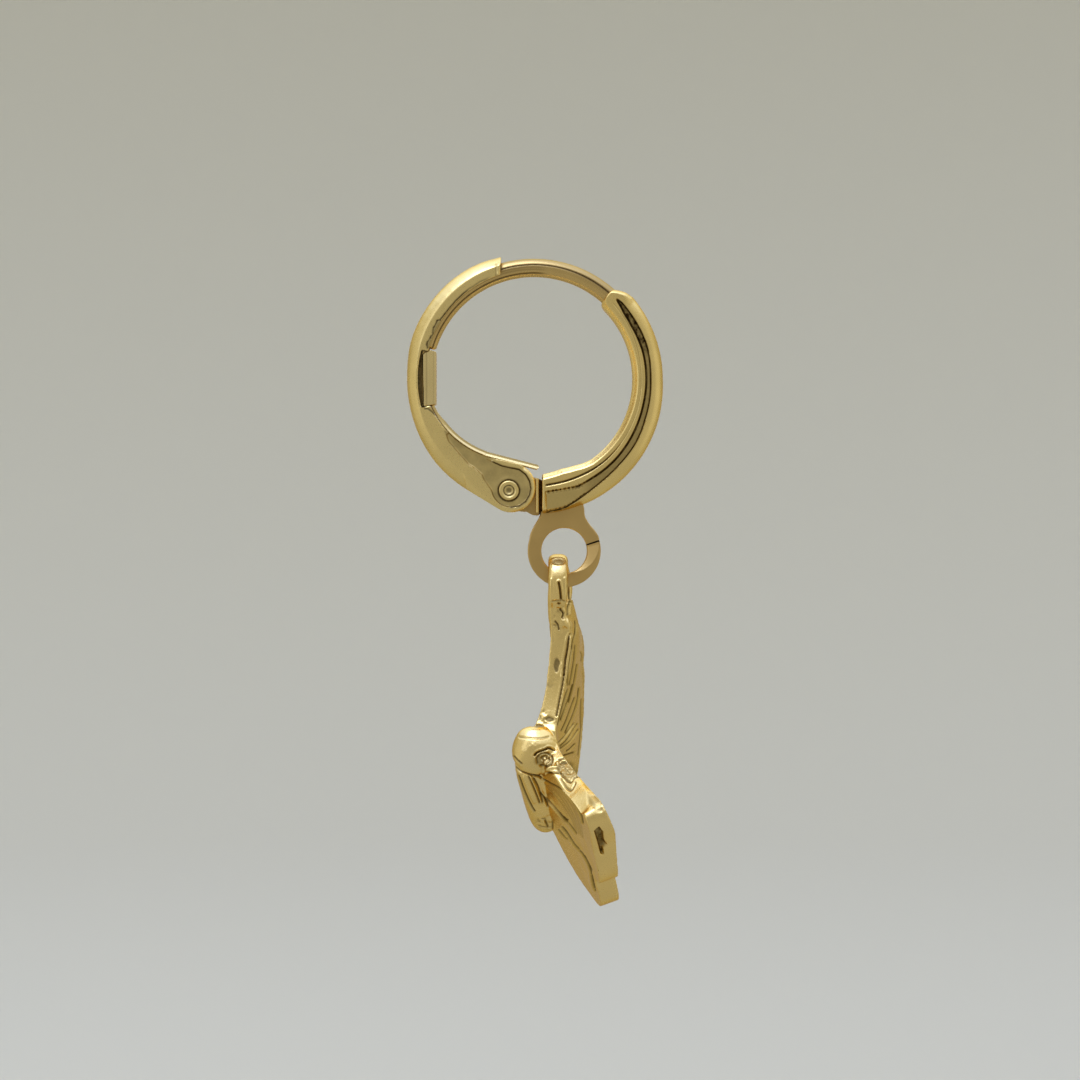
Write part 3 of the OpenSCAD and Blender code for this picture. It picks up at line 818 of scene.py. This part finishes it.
points = coordinates(butterfly)
facing = normals(butterfly)
local = (points - BODY_AT) @ lay
turned_to = facing @ lay
q, side_way, up = local.T
side = np.sign(side_way)
p = np.abs(side_way)
# Each point's place on its wing's middle surface, closer each round
for _ in range(3):
    drop, slope = fold(p)
    lean_in = 1 / np.sqrt(1 + slope ** 2)
    off = (up - drop) * lean_in
    p = np.maximum(np.abs(side_way) + slope * lean_in * off, 0)
across_wing = turned_to[:, 2] * lean_in - side * turned_to[:, 1] * slope * lean_in
on_back = step(0.55, 0.85, across_wing) * (1 - step(0.75, 0.9, off))
on_belly = step(0.55, 0.85, -across_wing) * (1 - step(0.95, 1.1, -off))
place = np.stack([p, q], axis=-1)
rim = near(place, edge_line)
px, py, pz = points.T
away = step(-19.0, -19.4, pz)
# The photographed side: what faces the front and isn't covered by the casting itself
shell = BVHTree.FromObject(butterfly, bpy.context.evaluated_depsgraph_get())
front_at = np.array(CAMERA_AT) / MM
seen = step(0.0, 0.1, -facing[:, 1])
for i in np.flatnonzero(seen > 0):
    off_skin = Vector(points[i] + 0.03 * facing[i])
    seen[i] *= shell.ray_cast(off_skin, Vector(front_at) - off_skin)[0] is None
# The casting's upper wing is not quite true: its two outlines stray from the model by these amounts
STRAY = [
    (-25.8, 0, 0), (-24.9, -0.04, 0), (-23.9, 0.08, 0), (-22.9, 0.15, 0.03), (-22.1, 0.14, 0.15),
    (-21.0, 0.15, 0.24), (-20.0, 0.13, 0.17), (-19.3, 0.05, -0.05), (-18.8, 0, -0.16), (-18.3, -0.03, -0.16),
    (-17.9, -0.03, -0.04), (-17.4, 0, 0)]
left_by, right_by = (table(smooth_line(STRAY, 8)[:, [0, k]], pz) for k in (1, 2))
moved_by = left_by + (right_by - left_by) * step(0.9, 2.3, px)
# Where each point shows from the front
near_scale = EYE_AWAY / (EYE_AWAY + py)
from_front = np.stack([EYE_X + (px + moved_by - EYE_X) * near_scale,
                       EYE_Z + (pz - EYE_Z) * near_scale], axis=-1)
sink, dark_residue_and_shade = np.zeros(len(points)), np.zeros(len(points))


# A narrower groove would break up in the mesh. Its lips are metal that the cut pushed up.
NARROWEST, CUT_DEPTH, LIP_HEIGHT, LIP_AT, LIP_WIDTH = 0.045, 1.3, 0.35, 2.1, 0.9
# Lines this deep are painted black as shade, shallower ones paler
BLACK_DEPTH, PALEST = 0.055, 0.35


def carve(distance, width, depth, where=1.0, shade=1.0):
    """A groove with raised lips along a line, painted dark at its bottom as shade. A ridge where depth is
    negative.
    """
    global sink, dark_residue_and_shade
    width = max(width, NARROWEST)
    cut = bell(distance, width) * where
    lips = bell(distance - LIP_AT * width, LIP_WIDTH * width) * where
    sink = sink + depth * (CUT_DEPTH * cut - LIP_HEIGHT * lips)
    if depth > 0:
        dark_residue_and_shade = np.maximum(dark_residue_and_shade, shade * cut)


# Lines on the wings by place along and across them: on the upper wing's back, the lower wing's belly
BACK_VEINS = [
    [(1.4, -1.25), (2.3, -0.95), (3.0, -1.1), (4.1, -1.5), (5.0, -1.2), (5.6, -1.15), (6.3, -1.8),
     (6.6, -2.6)],
    [(1.3, -1.6), (2.4, -1.35), (3.2, -1.5), (4.0, -1.95), (4.9, -1.75), (5.5, -1.7), (6.0, -2.3)],
    [(1.27, -0.9), (3.44, -0.05), (5.4, 0.25), (7.2, 0.5)],
    [(1.2, -0.3), (3.2, 0.9), (5.2, 1.5), (7.0, 1.9)],
    [(1.3, 0.4), (3.3, 1.9), (5.4, 2.8), (6.9, 3.3)],
    [(1.3, -2.2), (3.3, -2.7), (5.2, -3.1), (6.5, -3.5)],
    [(1.2, -2.8), (2.9, -3.7), (4.7, -4.5)],
    [(1.1, -3.4), (2.1, -4.6), (3.0, -5.3)],
]
BELLY_VEINS = [
    [(0.65, 2.44), (2.2, 1.6), (3.7, 1.5), (5.2, 2.2), (6.4, 3.2)],
    [(1.1, 2.9), (2.5, 2.75), (4.1, 3.1), (5.4, 3.9)],
    [(2.2, 1.6), (3.9, 0.7), (5.6, 0.5), (7.0, 1.1)],
    [(0.61, 1.15), (3.19, -0.1), (5.14, -0.9), (6.6, -0.7)],
    [(0.79, 0.87), (2.3, -0.5), (3.66, -1.63), (5.4, -2.0)],
    [(0.44, 0.69), (1.9, -0.95), (4.12, -3.11), (5.2, -3.7)],
    [(0.9, -0.2), (2.16, -1.8), (3.94, -3.45)],
    [(0.48, 0.05), (1.7, -1.9), (3.24, -3.9)],
    [(0.4, -0.6), (1.2, -2.6), (2.2, -4.9)],
]
# Lines where they show from the front: width across, height, in millimetres of the frame
UPPER_BELLY_VEINS = [
    ([(2.26, -19.23), (2.29, -19.61), (2.23, -19.94), (2.12, -20.26), (2.04, -20.81)], 0.035, 0.05),
    ([(2.04, -20.81), (1.96, -21.35), (1.88, -21.9), (1.82, -22.71)], 0.028, 0.04),
    ([(1.81, -22.99), (1.63, -23.64), (1.42, -24.4), (1.31, -24.89)], 0.038, 0.07),
    ([(2.07, -22.71), (1.88, -23.37), (1.69, -23.97), (1.47, -24.62)], 0.038, 0.07),
    ([(2.21, -23.42), (1.96, -24.08), (1.74, -24.68), (1.5, -25.2)], 0.032, 0.05),
    ([(2.15, -24.84), (1.96, -25.11), (1.69, -25.49), (1.25, -25.98)], 0.042, 0.09),
    ([(2.34, -24.84), (2.07, -25.27), (1.8, -25.71), (1.36, -26.09)], 0.036, 0.07),
    ([(2.4, -25.17), (2.12, -25.6), (1.8, -25.93), (1.25, -26.31)], 0.042, 0.09),
    ([(2.23, -25.93), (1.96, -26.2), (1.8, -26.31)], 0.036, 0.07),
    ([(2.18, -26.39), (1.74, -26.53), (1.31, -26.69)], 0.042, 0.09),
    ([(2.57, -23.48), (2.55, -23.97), (2.55, -24.51), (2.56, -25.17), (2.48, -25.98),
      (2.42, -26.53)], 0.03, 0.035),
    ([(2.53, -20.92), (2.6, -21.1), (2.58, -21.4)], 0.03, 0.03),
    ([(2.23, -20.57), (2.17, -21.39), (2.05, -22.13), (1.92, -22.7)], 0.03, 0.045),
    ([(2.34, -21.6), (2.2, -22.45), (2.02, -23.15), (1.88, -23.65)], 0.03, 0.05),
    ([(2.44, -22.9), (2.36, -23.6), (2.1, -24.4), (1.7, -25.3)], 0.035, 0.06),
]
LOWER_BACK_VEINS = [
    ([(0.46, -27.84), (0.94, -28.1), (1.35, -28.32), (1.66, -28.52), (2.06, -28.95), (2.35, -29.38),
      (2.57, -29.84), (2.65, -30.2)], 0.05, 0.06),
    ([(0.29, -28.3), (0.33, -28.51), (0.61, -28.85), (0.96, -29.19), (1.36, -29.65),
      (1.76, -30.06)], 0.055, 0.08),
    ([(1.76, -30.06), (2.11, -30.52), (2.3, -30.8)], 0.03, 0.04),
    ([(1.52, -29.83), (1.7, -29.95), (1.87, -30.05)], 0.03, 0.04),
    ([(3.47, -32.3), (3.5, -32.55), (3.55, -32.85)], 0.035, 0.05),
    ([(3.14, -33.1), (3.2, -33.4), (3.28, -33.75)], 0.06, 0.07),
    ([(0.82, -29.01), (1.21, -29.52), (1.62, -30.0), (1.86, -30.2)], 0.03, 0.05),
    ([(1.53, -30.46), (1.76, -30.74), (1.99, -31.09), (2.22, -31.43), (2.45, -31.66)], 0.055, 0.08),
    ([(2.45, -31.66), (2.74, -32.06), (2.97, -32.52), (3.14, -33.04), (3.25, -33.5),
      (3.34, -33.9)], 0.035, 0.05),
    ([(1.33, -30.6), (1.6, -30.95), (1.82, -31.1)], 0.03, 0.04),
    ([(2.78, -32.04), (2.95, -32.38), (3.15, -32.79)], 0.035, 0.04),
] + [([(0.6 + 0.17 * k, -28.15 - 0.02 * k), (1.3 + 0.17 * k, -28.9), (2.0 + 0.12 * k, -29.9 - 0.03 * k),
       (2.25 + 0.1 * k, -30.6 - 0.1 * k)], 0.03, (0.008, 0.016, 0.006, 0.012, 0.006)[k]) for k in range(5)]
BODY_LINES = [
    ([(0.02, -26.56), (0.19, -26.39), (0.6, -26.25), (0.8, -26.15), (1.08, -26.25)], 0.05, 0.12),
    ([(0.2, -27.0), (0.16, -26.7), (0.36, -26.47), (0.67, -26.42), (0.93, -26.56), (0.99, -26.8),
      (0.87, -27.04), (0.6, -27.15), (0.36, -27.11)], 0.035, 0.05),
    ([(0.46, -26.87), (0.46, -26.66), (0.7, -26.6), (0.82, -26.77), (0.7, -26.94)], 0.035, 0.04),
    ([(-1.16, -27.0), (-0.83, -27.34), (-0.49, -27.49), (-0.08, -27.62), (0.26, -27.68),
      (0.41, -27.79)], 0.045, 0.07),
    ([(-1.09, -26.6), (-0.9, -26.81), (-0.68, -27.0)], 0.035, 0.06),
    ([(-1.3, -25.35), (-0.75, -25.2), (-0.3, -25.13), (0.3, -25.1), (0.85, -25.18),
      (1.2, -25.3)], 0.2, -0.06),
    ([(-0.8, -25.55), (-0.3, -25.6), (0.3, -25.62), (0.8, -25.55)], 0.05, 0.02),
    ([(0.72, -27.3), (1.01, -27.26), (1.31, -27.2), (1.28, -27.02)], 0.09, -0.12),
    ([(0.7, -27.53), (1.08, -27.51), (1.38, -27.47)], 0.05, 0.1),
    ([(1.35, -26.8), (1.69, -26.7), (2.03, -26.63)], 0.05, 0.05),
    ([(1.45, -26.94), (1.86, -26.9), (2.1, -27.07), (2.23, -27.34)], 0.05, 0.045),
    ([(1.35, -27.34), (1.62, -27.68), (1.96, -27.89), (2.23, -27.68), (2.44, -27.68)], 0.05, 0.05),
    ([(1.62, -27.21), (1.89, -27.48), (2.1, -27.41)], 0.05, 0.03),
    ([(1.42, -27.75), (1.69, -28.09), (1.96, -28.23), (2.23, -28.02)], 0.04, 0.04),
    ([(-0.84, -27.65), (-0.63, -28.23), (-0.32, -28.98), (-0.14, -29.32), (0.03, -29.58)], 0.045, 0.06),
    ([(-0.3, -27.72), (-0.05, -28.26), (0.19, -28.84), (0.3, -29.15)], 0.045, 0.06),
    ([(-0.03, -27.79), (0.2, -28.23), (0.4, -28.77), (0.46, -29.11)], 0.03, 0.05),
    ([(0.36, -28.6), (0.61, -28.92), (0.77, -29.32)], 0.035, 0.06),
    ([(-0.56, -27.75), (-0.29, -28.43), (0.02, -29.11)], 0.07, -0.05),
    ([(-0.15, -27.75), (0.09, -28.3), (0.33, -28.91)], 0.05, -0.05),
    ([(0.85, -30.03), (0.88, -30.1)], 0.07, -0.06),
    ([(0.62, -30.1), (0.7, -30.3), (0.75, -30.45)], 0.05, 0.05),
    ([(0.98, -30.2), (1.0, -30.5)], 0.04, 0.06),
]
LOOP_LINES = [
    ([(1.98, -19.95), (1.9, -20.15), (1.84, -20.48), (1.79, -20.81), (1.7, -21.35),
      (1.62, -22.17)], 0.055, 0.09),
    ([(1.62, -22.17), (1.54, -22.71), (1.38, -23.53), (1.22, -24.4)], 0.04, 0.06),
    ([(1.35, -17.13), (1.42, -17.54), (1.47, -18.04)], 0.05, 0.13),
    ([(1.01, -18.15), (1.2, -18.13), (1.47, -18.1), (1.63, -18.14)], 0.025, 0.03),
    ([(1.33, -18.28), (1.37, -18.3)], 0.055, 0.1),
    ([(0.92, -16.94), (0.92, -18.08), (0.95, -19.2), (0.98, -20.3)], 0.05, -0.03),
    ([(1.68, -16.9), (1.7, -17.6), (1.68, -18.4)], 0.06, -0.03),
    ([(1.84, -17.3), (1.9, -17.76), (1.92, -18.19), (1.84, -18.55), (1.87, -18.87)], 0.045, 0.05),
    ([(1.98, -18.3), (1.97, -18.85)], 0.06, -0.05),
    ([(1.97, -18.14), (1.98, -18.18)], 0.06, 0.06),
    ([(1.72, -19.36), (1.88, -19.4)], 0.2, -0.09),
    ([(1.45, -18.62), (1.62, -18.85), (1.55, -19.05)], 0.06, 0.08),
    ([(1.15, -19.25), (1.3, -19.45), (1.35, -19.7)], 0.05, 0.06),
]
upper_belly, lower_back = on_belly * (side > 0) * away, on_back * (side < 0)
inland = step(0.3, 0.5, rim)
upper_back, unseen_belly = on_back * (side > 0) * away, on_belly * np.where(side < 0, 1, 1 - seen)
for veins, width, where in ((BACK_VEINS, 0.05, upper_back), (BELLY_VEINS, 0.06, unseen_belly)):
    for line in veins:
        fading = step(0.0, 1.1, np.linalg.norm(place - line[-1], axis=1))
        carve(near(place, smooth_line(line, 5)), width, 0.065, where * inland * fading)
for lines, where in ((UPPER_BELLY_VEINS, upper_belly * seen), (LOWER_BACK_VEINS, lower_back * seen),
                     (BODY_LINES, seen * (1 - upper_belly)), (LOOP_LINES, seen)):
    for line, width, depth in lines:
        carve(near(from_front, smooth_line(line, 5)), width, depth, where,
              np.clip(depth / BLACK_DEPTH, PALEST, 1))
# A line runs inside the margin, and a row of beads stands between it and the edge
RIM_LINE, BEAD_ROW, BEAD_GAP, BEAD_DEPTH = 0.42, 0.22, 0.42, 0.05
beaded = np.maximum(on_back * (side > 0), on_belly) * away * step(2.4, 3.2, p)
carve(np.abs(rim - RIM_LINE), 0.045, 0.045, beaded, 0.7)
run = np.concatenate([[0], np.cumsum(np.linalg.norm(np.diff(edge_line, axis=0), axis=1))])
nearest = np.argmin(np.linalg.norm(place[:, None, :] - edge_line[None, :, :], axis=2), axis=1)
bead = 0.5 + 0.5 * np.cos(run[nearest] / BEAD_GAP * 2 * math.pi)
sink = sink + beaded * bell(rim - BEAD_ROW, 0.12) * BEAD_DEPTH * (1 - bead)
# The lower wing's front margin is filed down at a slant on the near side
filed = (side < 0) * (q > 1.5) * step(2.4, 3.6, p) * step(7.0, 5.9, p)
slant = (0.4 + 0.1 * np.clip(p - 4.5, 0, 2)) * np.clip((off + 0.25) / 0.79, 0, 1)
FILED_TO = (-0.3, -0.35, 0.88)
filed_off = np.outer(filed * np.maximum(slant - rim, 0), FILED_TO)
# The abdomen's grooves go on round its far side
body_round = np.arctan2(up - ABDOMEN_AT[2], side_way)
for groove in (30, 62, 90, 118, 145):
    carve(np.abs(body_round - math.radians(groove)), 0.06, 0.05,
          step(-0.2, -0.6, q) * (off > 0.6) * (p < 1.5) * step(-5.2, -4.4, q) * (1 - seen))
# A casting pit in the lower wing, painted dark as shade in it
PIT = [(3.56, -30.41), (3.8, -30.75), (3.83, -31.16), (4.0, -31.43), (3.8, -31.63), (3.83, -32.01),
       (3.63, -31.94), (3.53, -31.57), (3.42, -31.16), (3.27, -30.68)]
from_pit = near(from_front, PIT, closed=True)
pit = np.where(within(from_front, PIT), step(-0.03, 0.1, from_pit), 0) * seen
sink = sink + 0.22 * pit
dark_residue_and_shade = np.maximum(dark_residue_and_shade, pit * (0.78 + 0.22 * grit(points, 0.2, 11)))
# Shallow hollows in view, painted dark as shade: place, half width and height, turn, depth, how dark they are
# painted and how ragged they are
DENTS = [
    (3.32, -29.05, 0.3, 0.6, 35, 0.05, 0.35, 0.35), (1.33, -15.98, 0.36, 0.2, 0, 0.05, 0.5, 0),
    (0.22, -24.97, 0.34, 0.11, 0, 0.1, 0.65, 0.1), (1.25, -21.62, 0.15, 0.36, 0, 0.04, 0.7, 0.4),
    (0.87, -24.6, 0.24, 0.15, 0, 0.05, 0.7, 0.6), (1.85, -27.35, 0.6, 0.45, -25, 0.07, 0.55, 0.3),
    (0.6, -26.85, 0.5, 0.42, 0, 0.03, 0.4, 0.3)]
for x, z, wide, tall, tilted, depth, shade, ragged in DENTS:
    c, s = math.cos(math.radians(tilted)), math.sin(math.radians(tilted))
    dx, dz = (from_front - (x, z)).T
    far_off = np.hypot((dx * c + dz * s) / wide, (dz * c - dx * s) / tall) + ragged * grit(points, 0.25, 3)
    cut = step(1.25, 0.7, far_off) * seen
    sink = sink + depth * cut
    dark_residue_and_shade = np.maximum(dark_residue_and_shade, shade * cut)
# Patches left grainy by the mould, with painted shade in the low spots of the grain: place, half width and
# height, and how high the grain stands
GRAINY = [
    (1.45, -18.85, 0.5, 0.5, 0.06), (1.35, -19.5, 0.55, 0.4, 0.06), (0.6, -24.5, 0.35, 0.4, 0.05),
    (0.1, -26.1, 0.65, 0.3, 0.02), (0.6, -26.8, 0.5, 0.4, 0.03), (0.6, -30.2, 0.5, 0.45, 0.05),
    (1.7, -27.3, 0.6, 0.5, 0.04), (0.95, -22.6, 0.3, 0.3, 0.015)]
for x, z, wide, tall, height in GRAINY:
    zone = step(1.3, 0.6, np.hypot(*((from_front - (x, z)) / (wide, tall)).T)) * seen
    bumps = 0.6 * grit(points, 0.13, 5) + 0.6 * grit(points, 0.26, 6)
    sink = sink + height * zone * bumps
    dark_residue_and_shade = np.maximum(dark_residue_and_shade, 0.5 * zone * step(0.1, 0.9, bumps))
# The thorax stays smooth in view; all else has the tumbler's faint ripple
on_dome = step(-26.2, -25.6, pz) * step(1.2, 0.9, px) * step(-0.2, -0.4, py)
wave = (0.012 * grit(points, 0.9, 1) + 0.005 * grit(points, 0.3, 2)) * (1 - on_dome)
points = points - facing * (sink + wave)[:, None] - filed_off
points[:, 0] += moved_by
put_back(butterfly, points, np.clip(dark_residue_and_shade, 0, 1), sharp=180)
# Cast, then tumbled: the clearest reflections, with a faint ripple, and veins painted dark as shade
tumbled_gold = gold_plate("gold_plated_casting_tumbled", "#F7D785", 0.24, grain=0.1, grain_height=0.006)
butterfly.data.materials.append(tumbled_gold)
thinned = butterfly.modifiers.new("thinned", "DECIMATE")
thinned.ratio = KEPT_FACES
apply_modifiers(butterfly)
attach(butterfly, "drop")
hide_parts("butterfly")
